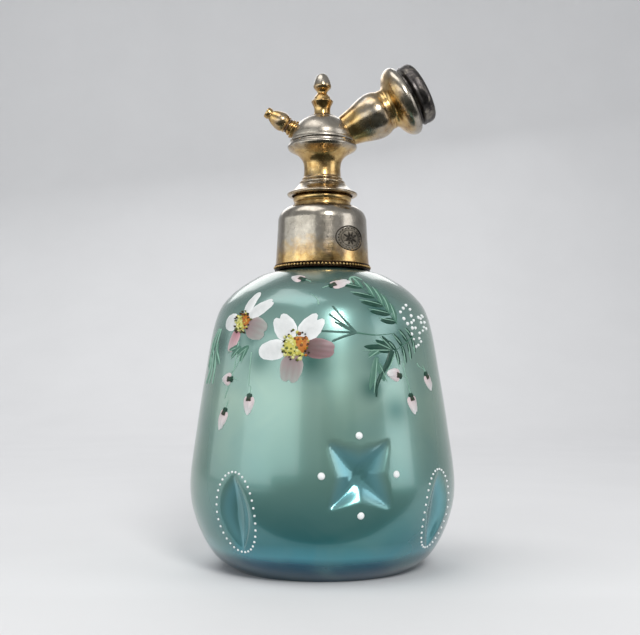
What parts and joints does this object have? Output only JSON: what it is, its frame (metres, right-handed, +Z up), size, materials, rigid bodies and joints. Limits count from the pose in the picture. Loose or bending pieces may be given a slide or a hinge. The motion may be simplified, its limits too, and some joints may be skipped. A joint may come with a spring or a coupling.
{
  "type": "perfume atomiser",
  "caption": "Dimpled satin glass perfume bottle with a metal collar and a screw-on spray head: finial valve, screw-off nozzle, and an arm ending in a spigot for a rubber bulb.",
  "frame": {"origin": "centre of the bottle's standing ring, on the surface it stands on", "axes": "+Z up the bottle's axis, +X towards the bulb arm, -X towards the nozzle, -Y the front"},
  "size_m": [0.079, 0.079, 0.152],
  "materials": {
    "satin_glass": "satin, slightly iridescent",
    "clear_glass": "clear, fire polished",
    "silver_plate": "worn silver plate",
    "gilt_brass": "worn gilt",
    "brass": "bare, turned",
    "tarnished_plate": "dark tarnish",
    "cork": "pressed cork",
    "leather": "oiled washer leather",
    "rubber": "plain",
    "plaster": "set plaster cement"
  },
  "bodies": {
    "bottle": {"bottle": "satin_glass", "bead_ring": "gilt_brass", "collar": "silver_plate", "neck_cement": "plaster", "lip_gasket": "cork", "neck_bush": "gilt_brass"},
    "gasket": {"head_gasket": "leather"},
    "pickup": {"dip_tube": "clear_glass", "dip_sleeve": "rubber"},
    "head": {"head_body": "gilt_brass", "dome": "silver_plate", "finial_packing": "leather", "valve_block": "brass", "riser_tube": "brass", "liquid_jet": "brass", "nozzle_base": "gilt_brass", "bulb_arm": "silver_plate", "spigot_washer": "leather", "bulb_flange": "gilt_brass", "bulb_spigot": "tarnished_plate", "valve_keeper": "brass"},
    "needle": {"valve_needle": "brass"},
    "finial": {"finial": "gilt_brass"},
    "tip_washer": {"nozzle_washer": "leather"},
    "tip": {"nozzle_tip": "gilt_brass"},
    "disc": {"valve_disc": "leather"}
  },
  "joints": [
    {"name": "head_lift_off", "type": "slide", "parent": "bottle", "child": "gasket", "axis": [0, 0, 1], "range_m": [0, 0.11]},
    {"name": "head_thread", "type": "slide", "parent": "gasket", "child": "pickup", "axis": [0, 0, 1], "range_m": [0, 0.003]},
    {"name": "head_turn", "type": "hinge", "parent": "pickup", "child": "head", "pos_m": [0, 0, 0.112], "axis": [0, 0, 1], "range_deg": [0, 1080]},
    {"name": "finial_thread", "type": "slide", "parent": "head", "child": "needle", "axis": [0, 0, 1], "range_m": [0, 0.0014]},
    {"name": "finial_turn", "type": "hinge", "parent": "needle", "child": "finial", "pos_m": [0, 0, 0.1366], "axis": [0, 0, 1], "range_deg": [0, 720]},
    {"name": "tip_thread", "type": "slide", "parent": "head", "child": "tip_washer", "axis": [-0.8387, 0, 0.5446], "range_m": [0, 0.0015]},
    {"name": "tip_turn", "type": "hinge", "parent": "tip_washer", "child": "tip", "pos_m": [-0.01258, 0, 0.13457], "axis": [-0.8387, 0, 0.5446], "range_deg": [0, 1080]},
    {"name": "disc_travel", "type": "slide", "parent": "head", "child": "disc", "axis": [0.8829, 0, 0.4695], "range_m": [0, 0.0007]}
  ],
  "couplings": [
    {"joint": "head_turn", "follows": "head_thread", "rad_per_m": 6283.2},
    {"joint": "finial_turn", "follows": "finial_thread", "rad_per_m": 8976},
    {"joint": "tip_turn", "follows": "tip_thread", "rad_per_m": 12566}
  ]
}
